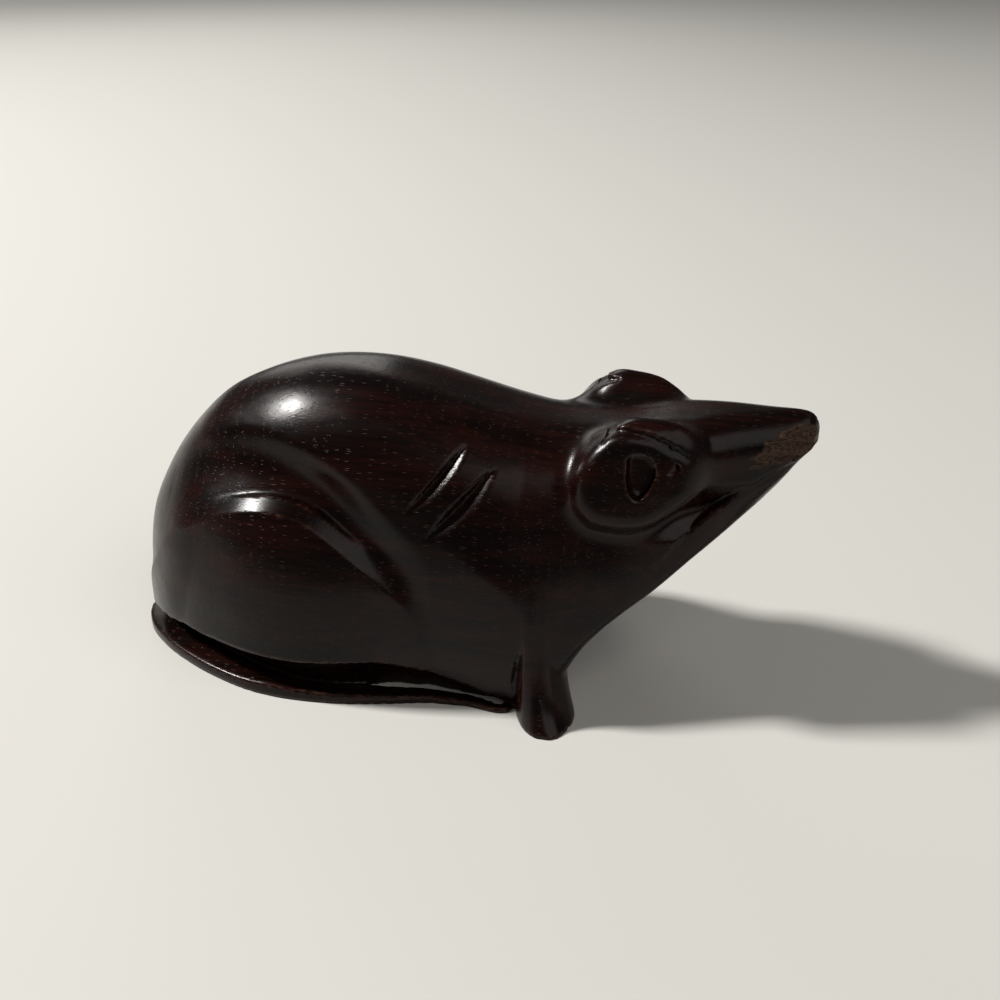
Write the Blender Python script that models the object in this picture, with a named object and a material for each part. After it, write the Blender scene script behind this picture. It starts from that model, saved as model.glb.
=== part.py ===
"""A crouching mouse carved from one block of dark hardwood, its tail curled along one side.

The carving is drawn in units of which DRAWN_LENGTH make its length, so at its real size a unit is
a millimetre. X runs from rump to nose, Z is up, and the underside lies flat at Z = 0. The tail lies
on the side of negative Y. Signed distances describe the forms: negative inside the wood.
"""
import bpy
import bmesh
import numpy as np

# Size of the real carving, in metres
LENGTH = 0.1683

# Length of the drawing, in its own units, and the size of one unit
DRAWN_LENGTH = 168.3
UNIT = LENGTH / DRAWN_LENGTH

# Side outline (x, z): up the rump, over the back to the nose, and back under chin and chest
SIDE = [(-83, -30), (-83, -12), (-83.2, 4), (-82.9, 16), (-81.7, 27), (-79.1, 38), (-73.7, 48.4),
        (-66.4, 57.8), (-57.6, 66.0), (-47.4, 71.4), (-37.5, 74.4), (-28, 75.4), (-18, 74.9),
        (-8, 73.0), (2, 70.4), (12, 68.1), (22, 66.9), (32, 66.9), (42, 67.7), (52, 69.6),
        (62, 71.2), (72, 72.0), (79.4, 72.6), (82.2, 71.6), (83.5, 69.2), (83.6, 66.2),
        (82.3, 64.0), (80.6, 62.0), (78.6, 59.8), (76.8, 57.2), (74.9, 54.5), (71.3, 50.2),
        (64.8, 43.8), (58.4, 38.2), (50.1, 31.0), (43.7, 25.9), (39.1, 21.9), (34.3, 16.2),
        (29.5, 6), (27, -6), (25, -30)]

# Half width of rump, belly, neck and snout (x, half width)
HALF_WIDTH = [(-95, 18), (-80, 22), (-65, 26), (-45, 28.2), (-20, 29.4), (0, 30.0), (18, 30.2),
              (31, 27.6), (44, 20.8), (58, 14.9), (74, 10.8), (95, 7.5)]

# Flank above the belly, which leans inwards (x, rate), and the flat shoulder beside the chest
LEAN = [(-95, 0.012), (-70, 0.014), (-50, 0.014), (-35, 0.012), (-20, 0.011), (20, 0.009),
        (38, 0.003), (52, 0), (95, 0)]
LEAN_HEIGHT = 30
LEAN_KNEE = 30
SHOULDER_POINT = (23.4, 29.7)
SHOULDER_SLOPE = 0.42
SHOULDER_LEAN = 0.14
SHOULDER_END = (34, 48)
SHOULDER_HEIGHT = (30, 52)
SHOULDER_BLEND = (0.4, 8.0)

# Rounding of the upper and lower edges of the body (x, radius)
ROUND_TOP = [(-95, 19), (-75, 22), (-62, 22.5), (-45, 22), (-20, 20), (2, 18), (20, 16), (34, 13.5),
             (46, 10.5), (60, 8.8), (76, 7.2), (95, 6)]
ROUND_LOW = [(-85, 19), (-66, 19), (-35, 8), (20, 3), (40, 2.5), (60, 2.5), (84, 3)]

# Lines between which the rounding changes over, low to high (x, z)
ROUNDING_FLOOR = [(-90, 0), (30, 0), (76, 53), (84, 62)]
ROUNDING_ROOF = [(-90, 20), (-60, 55), (-20, 74), (30, 66), (84, 70)]
ROUNDING_CHANGE = (0.25, 0.65)

# The flank tucks in below this height
TUCK_HEIGHT = 30
TUCK_RATE = 0.005

# Haunch: side outline (x, z) with its crisp rim on top, and plan (x, half width)
HAUNCH_SIDE = [(-84, 4), (-82.5, 13), (-79.5, 20.5), (-73.5, 29), (-67.5, 35.6), (-61.5, 40.6),
               (-55.5, 44.3), (-49.5, 46.9), (-43.5, 48.5), (-38, 49.1), (-33, 48.6), (-28, 46.9),
               (-23.5, 44.3), (-19, 41.1), (-15, 37.8), (-11, 34.4), (-7.4, 31.0), (-4.4, 27),
               (-2.6, 22), (-2, 14), (-2.5, 4), (-5, -9), (-20, -14), (-50, -14), (-76, -12)]
HAUNCH_PLAN = [(-83.4, 3), (-82.4, 8), (-79.6, 12.8), (-75, 17.6), (-69, 22.3), (-62, 26.9),
               (-54, 30.6), (-45, 33.6), (-36, 34.9), (-27, 34.6), (-18, 33.2), (-9, 30.6),
               (-2, 27.4), (4, 24.0), (10, 20.0)]
HAUNCH_BULGE_HEIGHT = 20
HAUNCH_BULGE_RATE = 0.0075
HAUNCH_LEDGE = 2.4
HAUNCH_SPREAD = 0.8
HAUNCH_TUCK = (-32, -6)
HAUNCH_BLEND = [(-20, 0.8), (-6, 6.0)]

# Valley carved round the top of the haunch: its line (x, z), and depth and width along it
VALLEY_LINE = [(-89, 6), (-87, 18), (-81.5, 29.5), (-74.5, 38), (-66.5, 45.2), (-58, 50.6), (-49, 54),
               (-40, 55), (-31.5, 53.4), (-24, 49.4), (-17, 43.8), (-10, 38.4), (-3, 33.8), (4, 29.4),
               (12, 24), (22, -10), (-30, -40), (-80, -20)]
VALLEY_DEPTH = [(-80, 0), (-70, 1.4), (-52, 3.0), (-25, 2.8), (-12, 1.6), (0, 0)]
VALLEY_WIDTH = [(-84, 7), (-50, 9.0), (-20, 9.0), (2, 8)]

# Overhanging lower edge of haunch and belly (x, z), and how far it is cut in below (x, depth)
EDGE = [(-84, 6), (-77, 8.8), (-66, 10.9), (-55, 11.5), (-43, 11.4), (-32, 11.2), (-22, 11.2),
        (-14, 11), (-5, 9.8), (7.5, 6), (19.6, 1), (24, -1), (90, -5)]
UNDERCUT = [(-84, 2.5), (-75, 5), (-62, 7.5), (-40, 7.5), (-25, 6.5), (-10, 5), (0, 4), (14, 3),
            (20, 2), (24, 0), (90, 0)]
UNDERCUT_STEEPNESS = [(-18, 3.0), (-9, 1.1)]

# Tail round the rump and along the side: plan (x, y), height and width (x, length), rounding
TAIL_PLAN = [(-84.9, -4), (-83.4, -9.4), (-79.4, -15.0), (-71.4, -21.7), (-62, -27.2), (-53.5, -31.0),
             (-45.5, -33.6), (-38, -34.7), (-31.7, -34.8), (-25, -34.3), (-19.3, -33.4), (-10, -31.2),
             (-1, -28.8), (8, -28.0), (19, -27.4), (19, -8), (-10, 4), (-40, 12), (-62, 24),
             (-71, 22.5), (-78, 17), (-83, 10), (-85, 3)]
TAIL_EDGE = [(-84, 2.6), (-50, 2.8), (-38, 3.2), (-25, 2.8), (-10, 2.2), (6, 1.6), (21, 1.0)]
TAIL_CREST = [(-84, 4.5), (-60, 5.2), (-50, 4.6), (-42, 2.4), (-35, 0.6)]
TAIL_SLOPE = 0.2
TAIL_INNER_SLOPE = 0.3
TAIL_RIDGE = 0.6
TAIL_WIDTH = 14
TAIL_BLEND = 0.6

# Front leg with its paw: plan at the ground (x, half width), and its flare outwards and forwards (x, length)
LEG_PLAN = [(19.8, 20), (20.0, 26.6), (22.0, 31.6), (24.6, 35.0), (27.4, 36.6), (30.8, 36.3),
            (33.0, 33.6), (34.2, 28), (33.2, 22), (29, 17), (23, 16)]
LEG_TOP = 37
LEG_TOP_BLEND = 6.0
LEG_BLEND = 1.0
PAW_FLARE = [(19.8, 0.8), (22.5, 3.4), (25.8, 7.7), (29.2, 9.7), (32, 9.9), (36, 9.0)]
PAW_FLARE_HEIGHT = 26
PAW_STEP = [(20, 0), (24, 0.8), (30, 3.6), (36, 4.0)]
PAW_STEP_HEIGHT = 14
SHANK_RATE = 0.26

# Ear: side outline (x, z) of a pad on the side of the head, whose face splays outwards below its
# crest and turns in towards the nose; far and near ear are staggered
EAR_SIDE = [(28.6, 58), (29.2, 62.5), (31.2, 66.2), (33.8, 69.0), (36.4, 71.2), (39.6, 72.6),
            (43.6, 72.8), (47.4, 72.6), (50.8, 71.6), (54.0, 68.6), (55.6, 62.8), (54.6, 56),
            (49.5, 51.5), (44.5, 48.8), (38.5, 48.8), (32.5, 50.0), (29.4, 53.6)]
EAR_FACE = (44, 20.2, 60)
EAR_SPLAY = 0.18
EAR_TURN = 0.25
EAR_BACK = 7.9
EAR_LEAN = 0.18
EAR_ROUNDING = 4.3
EAR_BLEND = 5.5
EAR_STAGGER = 3.2

# Fold under the ear's rim: the rim's crest (x, z), and the fold's start, width and depth (x, length)
RIM = [(33.0, 67.5), (34.4, 70.5), (37.1, 72.3), (39.3, 72.8), (41.5, 72.7), (43.7, 72.5),
       (45.9, 72.0), (47.7, 71.4), (50.3, 70.2), (52.6, 68.8), (55, 67)]
FOLD_START = [(33, 0.8), (38, 0.9), (46, 1.6), (52, 2.4)]
FOLD_WIDTH = [(33, 1.6), (36, 2.6), (42, 3.0), (48, 3.8), (53, 3.0), (55, 1.6)]
FOLD_DEPTH = [(33, 0), (36, 0.7), (44, 0.8), (49, 1.1), (54, 0)]
FOLD_SIDE = 11

# Pit in the ear, with one straight side (x, z)
PIT_SIDE = [(39.7, 63.8), (39.8, 65.5), (41.8, 66.1), (44.2, 65.4), (45.7, 63.0), (45.4, 60.4),
            (44.4, 58.2), (42.5, 56.3), (40.6, 57.8), (39.8, 60.6)]
PIT_DEPTH = 2.4
PIT_ROUNDING = 1.2
PIT_EDGE = 0.8

# Eye: a crescent cut in front of the ear
EYE_CENTRE = (52.6, 63.7)
EYE_RADIUS = 1.5
EYEBALL_CENTRE = (51.8, 63.9)
EYEBALL_RADIUS = 1.2
EYE_DEPTH = 1.4

# Mouth line (x, z), with the hollow cheek above it and the bevelled lip below
MOUTH = [(50, 38.6), (54, 43.2), (57.6, 47.4), (63.1, 52.2), (68.5, 56.6), (76, 60.9), (84, 64.6)]
MOUTH_SLOPE = 0.79
CHEEK_HEIGHT = 57.5
CHEEK_RATE = 0.52
CHEEK_RETURN = 0.8
CHEEK_START = (42, 54)
CHEEK_END = (5, 14)
LIP_START = (48, 58)
LIP_DEPTH = 0.9
LIP_WIDTH = 2.4
LIP_SLOPE = 0.04
JAW_START = (54, 70)
JAW_SLOPE = 0.35
JAW_WIDTH = 3.0

# Broken tip of the nose: a slanting face, stopped below by a crack
CHIP_NORMAL = (0.535, -0.842, -0.075)
CHIP_DISTANCE = 40.4
CRACK_POINT = (72.0, 61.9)
CRACK_SLOPE = 0.08
SPLINTERS = [(0.3, 0.35, 1.9, 0.4), (0.14, 0.6, 3.1, 2.1)]

# Rib cuts and the groove behind the leg: (start, end, bow, half width, depth, crest)
GOUGES = [((7.0, 64.9), (-5.6, 49.7), 0.6, 1.7, 1.7, -0.35),
          ((13.8, 60.6), (-0.6, 44.4), 0.6, 2.2, 2.0, -0.2),
          ((22.6, 21.5), (19.9, 4.0), -0.5, 1.2, 1.6, -0.1)]
GOUGE_FULLNESS = 0.6

# Faces: pitch of the sampling grid, room round the drawing, and triangles in the finished solid
PITCH = 1.0
MARGIN = 3.0
REACH = ((-86, -37, 0), (84, 37, 77))
TRIANGLES = 9600
OUTLINE_PITCH = 0.5
OUTLINE_ROOM = 18
OUTLINE_STEPS = 8
CREASE_DAMPING = 0.08
FLAT_SNAP = 0.08
SLIVER = 0.03
TINY = 1e-9

WOOD_COLOUR = (0.022, 0.011, 0.008, 1.0)
WOOD_ROUGHNESS = 0.34


def spline(points, x):
    """Value at x of a smooth line with even curvature through the points."""
    at, value = np.array(points, float).T
    gap = np.diff(at)
    slope = np.diff(value) / gap
    matrix = np.eye(len(at))
    right = np.zeros(len(at))
    for i in range(1, len(at) - 1):
        matrix[i, i - 1:i + 2] = gap[i - 1], 2 * (gap[i - 1] + gap[i]), gap[i]
        right[i] = 6 * (slope[i] - slope[i - 1])
    bend = np.linalg.solve(matrix, right)
    x = np.clip(x, at[0], at[-1])
    k = np.clip(np.searchsorted(at, x) - 1, 0, len(gap) - 1)
    before, after, h = x - at[k], at[k + 1] - x, gap[k]
    return ((bend[k] * after ** 3 + bend[k + 1] * before ** 3) / (6 * h)
            + (value[k] / h - bend[k] * h / 6) * after
            + (value[k + 1] / h - bend[k + 1] * h / 6) * before)


def straight(points, x):
    """Value at x of straight runs between the points."""
    at, value = np.array(points, float).T
    return np.interp(x, at, value)


def closed_curve(points):
    """Points along a smooth closed curve through the given ones."""
    knots = np.array(points, float)
    before, after, beyond = (np.roll(knots, turn, axis=0) for turn in (1, -1, -2))
    steps = np.arange(OUTLINE_STEPS)[:, None, None] / OUTLINE_STEPS
    curve = (2 * knots + (after - before) * steps
             + (2 * before - 5 * knots + 4 * after - beyond) * steps ** 2
             + (3 * knots - before - 3 * after + beyond) * steps ** 3) / 2
    return curve.transpose(1, 0, 2).reshape(-1, 2)


class Outline:
    """Signed distance to a closed outline, sampled once on a fine grid."""

    def __init__(self, points):
        curve = closed_curve(points)
        self.low = curve.min(axis=0) - OUTLINE_ROOM
        size = np.ceil((curve.max(axis=0) + OUTLINE_ROOM - self.low) / OUTLINE_PITCH).astype(int)
        first, second = (self.low[k] + OUTLINE_PITCH * np.arange(size[k] + 1) for k in (0, 1))
        self.size = size
        self.table = self.measure(curve, *np.meshgrid(first, second, indexing="ij"))

    @staticmethod
    def measure(curve, u, v):
        nearest = np.full(u.shape, np.inf)
        inside = np.zeros(u.shape, bool)
        for (au, av), (bu, bv) in zip(curve, np.roll(curve, -1, axis=0)):
            du, dv = bu - au, bv - av
            along = np.clip(((u - au) * du + (v - av) * dv) / (du * du + dv * dv), 0, 1)
            nearest = np.minimum(nearest, np.hypot(u - au - along * du, v - av - along * dv))
            if av != bv:
                crosses = (av <= v) != (bv <= v)
                inside ^= crosses & (u < au + (v - av) * du / dv)
        return np.where(inside, -nearest, nearest)

    def __call__(self, u, v):
        a = np.clip((u - self.low[0]) / OUTLINE_PITCH, 0, self.size[0] - TINY)
        b = np.clip((v - self.low[1]) / OUTLINE_PITCH, 0, self.size[1] - TINY)
        i, j = a.astype(int), b.astype(int)
        a, b = a - i, b - j
        near = self.table[i, j] * (1 - b) + self.table[i, j + 1] * b
        far = self.table[i + 1, j] * (1 - b) + self.table[i + 1, j + 1] * b
        return near * (1 - a) + far * a


def mirrored(points):
    """A half plan joined to its mirror image."""
    return points + [(x, -y) for x, y in reversed(points)]


def join(a, b, blend):
    """Union of two forms with a soft valley between them."""
    share = np.clip(0.5 + 0.5 * (b - a) / blend, 0, 1)
    return b + (a - b) * share - blend * share * (1 - share)


def meet(a, b, blend):
    """Intersection of two forms with a soft ridge between them."""
    return -join(-a, -b, blend)


def rounded(a, b, radius):
    """Intersection of two forms with its edge rounded to the radius."""
    a, b = a + radius, b + radius
    return np.hypot(np.maximum(a, 0), np.maximum(b, 0)) + np.minimum(np.maximum(a, b), 0) - radius


def rise(value, low, high):
    """Smooth change from 0 at low to 1 at high."""
    share = np.clip((value - low) / (high - low), 0, 1)
    return share * share * (3 - 2 * share)


side_outline = Outline(SIDE)
haunch_outline = Outline(HAUNCH_SIDE)
valley_outline = Outline(VALLEY_LINE)
haunch_plan = Outline(mirrored(HAUNCH_PLAN))
leg_plan = Outline(LEG_PLAN)
tail_plan = Outline(TAIL_PLAN)
ear_outline = Outline(EAR_SIDE)
pit_outline = Outline(PIT_SIDE)


def torso(x, y, z):
    """Rump, belly, neck and head: the side outline met by the half width, with rounded edges."""
    low, high = straight(ROUNDING_FLOOR, x), straight(ROUNDING_ROOF, x)
    upper = rise((z - low) / (high - low), *ROUNDING_CHANGE)
    radius = spline(ROUND_TOP, x) * upper + straight(ROUND_LOW, x) * (1 - upper)
    tuck = TUCK_RATE * np.clip(TUCK_HEIGHT - z, 0, None) ** 2
    above = np.clip(z - LEAN_HEIGHT, 0, None)
    lean = straight(LEAN, x) * above ** 2 / (1 + (above / LEAN_KNEE) ** 2)
    slope = spline(HALF_WIDTH, x + 0.5) - spline(HALF_WIDTH, x - 0.5)
    flank = (np.abs(y) + tuck + lean - spline(HALF_WIDTH, x)) / np.sqrt(1 + slope ** 2)
    back = SHOULDER_LEAN * (z - PAW_FLARE_HEIGHT) * (1 - rise(x, *SHOULDER_END))
    back = back + SHOULDER_SLOPE * (x - SHOULDER_POINT[0])
    shoulder = np.abs(y) + tuck + lean + back - SHOULDER_POINT[1]
    upwards = rise(z, *SHOULDER_HEIGHT)
    blend = SHOULDER_BLEND[0] + (SHOULDER_BLEND[1] - SHOULDER_BLEND[0]) * upwards
    flank = meet(flank, shoulder / np.sqrt(1 + SHOULDER_SLOPE ** 2), blend)
    return rounded(side_outline(x, z), flank + mouth(x, z), radius)


def haunch(x, y, z):
    """The thigh: a cushion-shaped disc whose rim is bevelled to a narrow ledge."""
    bulge = HAUNCH_BULGE_RATE * np.clip(z - HAUNCH_BULGE_HEIGHT, 0, None) ** 2
    tuck = TUCK_RATE * np.clip(TUCK_HEIGHT - z, 0, None) ** 2 * rise(x, *HAUNCH_TUCK)
    side, plan = haunch_outline(x, z) - HAUNCH_SPREAD, haunch_plan(x, np.abs(y) + bulge + tuck)
    return np.maximum(np.maximum(side, plan), (side + plan + HAUNCH_LEDGE) / np.sqrt(2))


def valley(x, z):
    """Depth of the hollow that follows the haunch's rim."""
    off = valley_outline(x, z) / straight(VALLEY_WIDTH, x)
    return straight(VALLEY_DEPTH, x) * np.clip(1 - off ** 2, 0, 1) ** 2


def undercut(x, z):
    """How far the wood is cut in below the overhanging edge."""
    below = np.clip(straight(EDGE, x) - z, 0, None)
    return np.minimum(straight(UNDERCUT_STEEPNESS, x) * below, straight(UNDERCUT, x))


def gouge(x, z, start, end, bow, half_width, depth, crest):
    """Depth of a V cut with pointed ends, seen from the side."""
    (x0, z0), (x1, z1) = start, end
    length = np.hypot(x1 - x0, z1 - z0)
    u, w = (x1 - x0) / length, (z1 - z0) / length
    along = ((x - x0) * u + (z - z0) * w) / length
    lens = np.clip(4 * along * (1 - along), 0, 1)
    across = (z - z0) * u - (x - x0) * w - bow * lens
    across = across / (half_width * lens ** GOUGE_FULLNESS + TINY)
    wall = np.minimum((across + 1) / (1 + crest), (1 - across) / (1 - crest))
    return depth * lens * np.clip(wall, 0, 1)


def mouth(x, z):
    """Depth of the hollow cheek, of the flat lip below it and of the jaw under the lip."""
    line = spline(MOUTH, x)
    below = (line - z) * MOUTH_SLOPE
    drop = np.clip(CHEEK_HEIGHT - z, 0, np.maximum(CHEEK_HEIGHT - line, 0))
    hollow = CHEEK_RATE * drop * (1 - rise(drop, *CHEEK_END)) * rise(x, *CHEEK_START)
    jaw = JAW_SLOPE * np.clip(below - LIP_WIDTH, 0, JAW_WIDTH) * rise(x, *JAW_START)
    lip = LIP_DEPTH + LIP_SLOPE * below + jaw
    share = np.clip(below / CHEEK_RETURN, 0, 1)
    return hollow * (1 - share) + lip * share * rise(x, *LIP_START)


def leg(x, y, z):
    """Front leg that is flush with the shoulder and flares out to the paw."""
    up, step = (1 - np.clip(z / height, 0, 1) for height in (PAW_FLARE_HEIGHT, PAW_STEP_HEIGHT))
    out = np.abs(y) + straight(PAW_FLARE, x) * (1 - up ** 2)
    out = out + SHANK_RATE * np.clip(z - PAW_FLARE_HEIGHT, 0, None)
    plan = leg_plan(x + straight(PAW_STEP, x) * (1 - step ** 2), out)
    return meet(plan, z - LEG_TOP, LEG_TOP_BLEND)


def ear_face(x, y, z):
    """Distance outwards from the ear's outer face."""
    splay = EAR_SPLAY * (z - EAR_FACE[2]) + EAR_TURN * (x - EAR_FACE[0])
    return (np.abs(y) - EAR_FACE[1] + splay) / np.sqrt(1 + EAR_SPLAY ** 2 + EAR_TURN ** 2)


def ear(x, y, z):
    x = x + EAR_STAGGER * np.sign(y)
    back = EAR_BACK + EAR_LEAN * (z - EAR_FACE[2]) - np.abs(y)
    return rounded(ear_outline(x, z), np.maximum(ear_face(x, y, z), back), EAR_ROUNDING)


def fold(x, y, z):
    """Depth of the crescent groove under the ear's rim."""
    x = x + EAR_STAGGER * np.sign(y)
    share = np.clip((spline(RIM, x) - z - straight(FOLD_START, x)) / straight(FOLD_WIDTH, x), 0, 1)
    bowl = np.sin(np.pi * share * (2 - share)) ** 2
    return straight(FOLD_DEPTH, x) * bowl * np.clip(np.abs(y) - FOLD_SIDE, 0, 1)


def pit(x, y, z):
    x = x + EAR_STAGGER * np.sign(y)
    return rounded(pit_outline(x, z), -PIT_DEPTH - ear_face(x, y, z), PIT_ROUNDING)


def eye(x, z):
    """Depth of the crescent round the front of the eye."""
    socket = EYE_RADIUS - np.hypot(x - EYE_CENTRE[0], z - EYE_CENTRE[1])
    ball = np.hypot(x - EYEBALL_CENTRE[0], z - EYEBALL_CENTRE[1]) - EYEBALL_RADIUS
    return EYE_DEPTH * np.clip(2 * np.minimum(socket, ball), 0, 1)


def nose_chip(x, y, z):
    face = CHIP_NORMAL[0] * x + CHIP_NORMAL[1] * y + CHIP_NORMAL[2] * z - CHIP_DISTANCE
    for depth, along, across, start in SPLINTERS:
        face = face + depth * np.sin(along * x + across * z + start)
    return np.minimum(face, z - CRACK_POINT[1] - CRACK_SLOPE * (x - CRACK_POINT[0]))


def tail(x, y, z):
    """A band on the ground with a crest: its outer facet slopes down to the edge, its inner one inwards."""
    plan = tail_plan(x, y)
    crest, top = straight(TAIL_CREST, x), z - straight(TAIL_EDGE, x)
    outer = (top + TAIL_SLOPE * plan) / np.hypot(1, TAIL_SLOPE)
    inner = (top - TAIL_SLOPE * crest - TAIL_INNER_SLOPE * (plan + crest)) / np.hypot(1, TAIL_INNER_SLOPE)
    band = meet(plan, meet(outer, inner, TAIL_RIDGE), TAIL_RIDGE)
    return np.maximum(band, -plan - TAIL_WIDTH)


def mouse(points):
    """Signed distance of the whole carving, which stands on Z = 0."""
    x, y, z = np.array(points).T
    form = join(torso(x, y, z) + valley(x, z), haunch(x, y, z), straight(HAUNCH_BLEND, x))
    form = form + undercut(x, z)
    for cut in GOUGES:
        form = form + gouge(x, z, *cut)
    form = join(form, leg(x, y, z), LEG_BLEND)
    form = join(form, ear(x, y, z), EAR_BLEND) + fold(x, y, z) + eye(x, z)
    form = meet(form, -pit(x, y, z), PIT_EDGE)
    form = np.maximum(form, nose_chip(x, y, z))
    form = join(form, tail(x, y, z), TAIL_BLEND)
    return np.maximum(form, -z)


def gradient(field, points, reach):
    """Direction in which the field grows fastest, as unit vectors."""
    steps = reach * np.eye(3)
    slopes = np.column_stack([field(points + step) - field(points - step) for step in steps])
    return slopes / (np.linalg.norm(slopes, axis=1, keepdims=True) + TINY)


def sample(field, axes):
    """Values of the field on the grid, one slice along X at a time."""
    across = np.stack(np.meshgrid(axes[1], axes[2], indexing="ij"), axis=-1).reshape(-1, 2)
    slices = [field(np.column_stack([np.full(len(across), x), across])) for x in axes[0]]
    return np.array(slices).reshape([len(axis) for axis in axes])


def settle(value, fill):
    """Fill grid corners where two parts of the surface would meet in a single cell."""
    low, high = slice(None, -1), slice(1, None)
    while True:
        before = np.count_nonzero(value < 0)
        for axis in range(3):
            turned = np.moveaxis(value, axis, 0)
            a, b, c, d = (turned[:, i, j] for i, j in
                          ((low, low), (high, low), (high, high), (low, high)))
            a[(a >= 0) & (c >= 0) & (b < 0) & (d < 0)] = fill
            b[(b >= 0) & (d >= 0) & (a < 0) & (c < 0)] = fill
        corners = [value[i, j, k] for i in (low, high) for j in (low, high) for k in (low, high)]
        inside = sum((corner < 0).astype(int) for corner in corners)
        for first, last in zip(corners[:4], corners[:3:-1]):
            first[(inside == 6) & (first >= 0) & (last >= 0)] = fill
            lone = (inside == 2) & (first < 0) & (last < 0)
            for corner in corners[1:3]:
                corner[lone] = fill
        if np.count_nonzero(value < 0) == before:
            return value


def crossings(value, axes, pitch):
    """Points where grid edges pierce the surface, and the four cells round each of them."""
    strides = np.array([(value.shape[1] - 1) * (value.shape[2] - 1), value.shape[2] - 1, 1])
    points, rings = [], []
    for axis in range(3):
        start = np.take(value, range(value.shape[axis] - 1), axis)
        end = np.take(value, range(1, value.shape[axis]), axis)
        index = np.argwhere((start < 0) != (end < 0))
        low, high = start[tuple(index.T)], end[tuple(index.T)]
        place = np.column_stack([axes[k][index[:, k]] for k in range(3)])
        place[:, axis] += pitch * low / (low - high)
        u, v = np.eye(3, dtype=int)[[k for k in range(3) if k != axis]]
        ring = np.column_stack([(index - side) @ strides for side in (0 * u, u, u + v, v)])
        turned = (low < 0) == (axis == 1)
        ring[turned] = ring[turned][:, ::-1]
        points.append(place)
        rings.append(ring)
    return np.vstack(points), np.vstack(rings), strides


def contour(field, low, high, pitch):
    """Surface of a field: one vertex in each cell that it passes through, set on the creases."""
    axes = [np.arange(a, b + pitch, pitch) for a, b in zip(low, high)]
    value = settle(sample(field, axes), -pitch / 50)
    points, rings, strides = crossings(value, axes, pitch)
    normals = np.repeat(gradient(field, points, pitch / 20), 4, axis=0)
    cells, owner = np.unique(rings, return_inverse=True)
    owner = owner.ravel()
    points = np.repeat(points, 4, axis=0)
    count = len(cells)
    share = 1 / np.bincount(owner)
    centre = np.column_stack([np.bincount(owner, points[:, k]) * share for k in range(3)])
    offset = (normals * (points - centre[owner])).sum(axis=1)
    matrix = np.tile(CREASE_DAMPING * np.eye(3), (count, 1, 1))
    right = np.empty((count, 3, 1))
    for i in range(3):
        right[:, i, 0] = np.bincount(owner, normals[:, i] * offset)
        for j in range(3):
            matrix[:, i, j] += np.bincount(owner, normals[:, i] * normals[:, j])
    vertices = centre + np.linalg.solve(matrix, right)[:, :, 0]
    corner = np.column_stack([cells // strides[0], cells % strides[0] // strides[1],
                              cells % strides[1]])
    corner = np.array([axis[0] for axis in axes]) + pitch * corner
    return np.clip(vertices, corner, corner + pitch), owner.reshape(-1, 4)


def clear_scene():
    for old in list(bpy.data.objects):
        bpy.data.objects.remove(old)


def wood():
    material = bpy.data.materials.new("dark_hardwood")
    material.use_nodes = True
    shader = material.node_tree.nodes["Principled BSDF"]
    shader.inputs["Base Color"].default_value = WOOD_COLOUR
    shader.inputs["Roughness"].default_value = WOOD_ROUGHNESS
    shader.inputs["Metallic"].default_value = 0.0
    return material


def thinned(fine):
    """The fine mesh with fewer triangles, where the form allows it."""
    helper = bpy.data.objects.new("fine_carving", fine)
    bpy.context.scene.collection.objects.link(helper)
    decimate = helper.modifiers.new("fewer_triangles", "DECIMATE")
    decimate.ratio = TRIANGLES / (2 * len(fine.polygons))
    decimate.use_collapse_triangulate = True
    evaluated = helper.evaluated_get(bpy.context.evaluated_depsgraph_get())
    coarse = bpy.data.meshes.new_from_object(evaluated)
    bpy.data.objects.remove(helper)
    return coarse


def flatten_underside(mesh):
    """Put the underside's vertices exactly on the ground, and drop triangles that are mere slivers."""
    form = bmesh.new()
    form.from_mesh(mesh)
    for vertex in form.verts:
        if vertex.co.z < FLAT_SNAP * UNIT:
            vertex.co.z = 0.0
    bmesh.ops.dissolve_degenerate(form, dist=SLIVER * UNIT, edges=form.edges)
    bmesh.ops.triangulate(form, faces=form.faces)
    form.to_mesh(mesh)
    form.free()


def carve_mouse(collection):
    low, high = np.array(REACH[0]) - MARGIN, np.array(REACH[1]) + MARGIN
    vertices, faces = contour(mouse, low, high, PITCH)
    fine = bpy.data.meshes.new("fine_carving")
    fine.from_pydata((vertices * UNIT).tolist(), [], faces.tolist())
    mesh = thinned(fine)
    bpy.data.meshes.remove(fine)
    flatten_underside(mesh)
    mesh.name = "carved_mouse"
    mesh.materials.clear()
    mesh.materials.append(wood())
    mesh.shade_smooth()
    carving = bpy.data.objects.new("carved_mouse", mesh)
    collection.objects.link(carving)
    return carving


def main():
    clear_scene()
    collection = bpy.data.collections.new("wooden_mouse")
    bpy.context.scene.collection.children.link(collection)
    carve_mouse(collection)


main()
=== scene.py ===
"""The crouching mouse as the photograph shows it: waxed dark hardwood on a pale table.

The first part repeats the drawing of the solid, which is meshed here in finer steps. The drawing's
unit is a millimetre of the real carving: X runs from rump to nose, Z is up, and the tail lies on the
side of negative Y. Signed distances describe the forms: negative inside the wood. Materials, table,
lights and camera follow.
"""
import math

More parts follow.
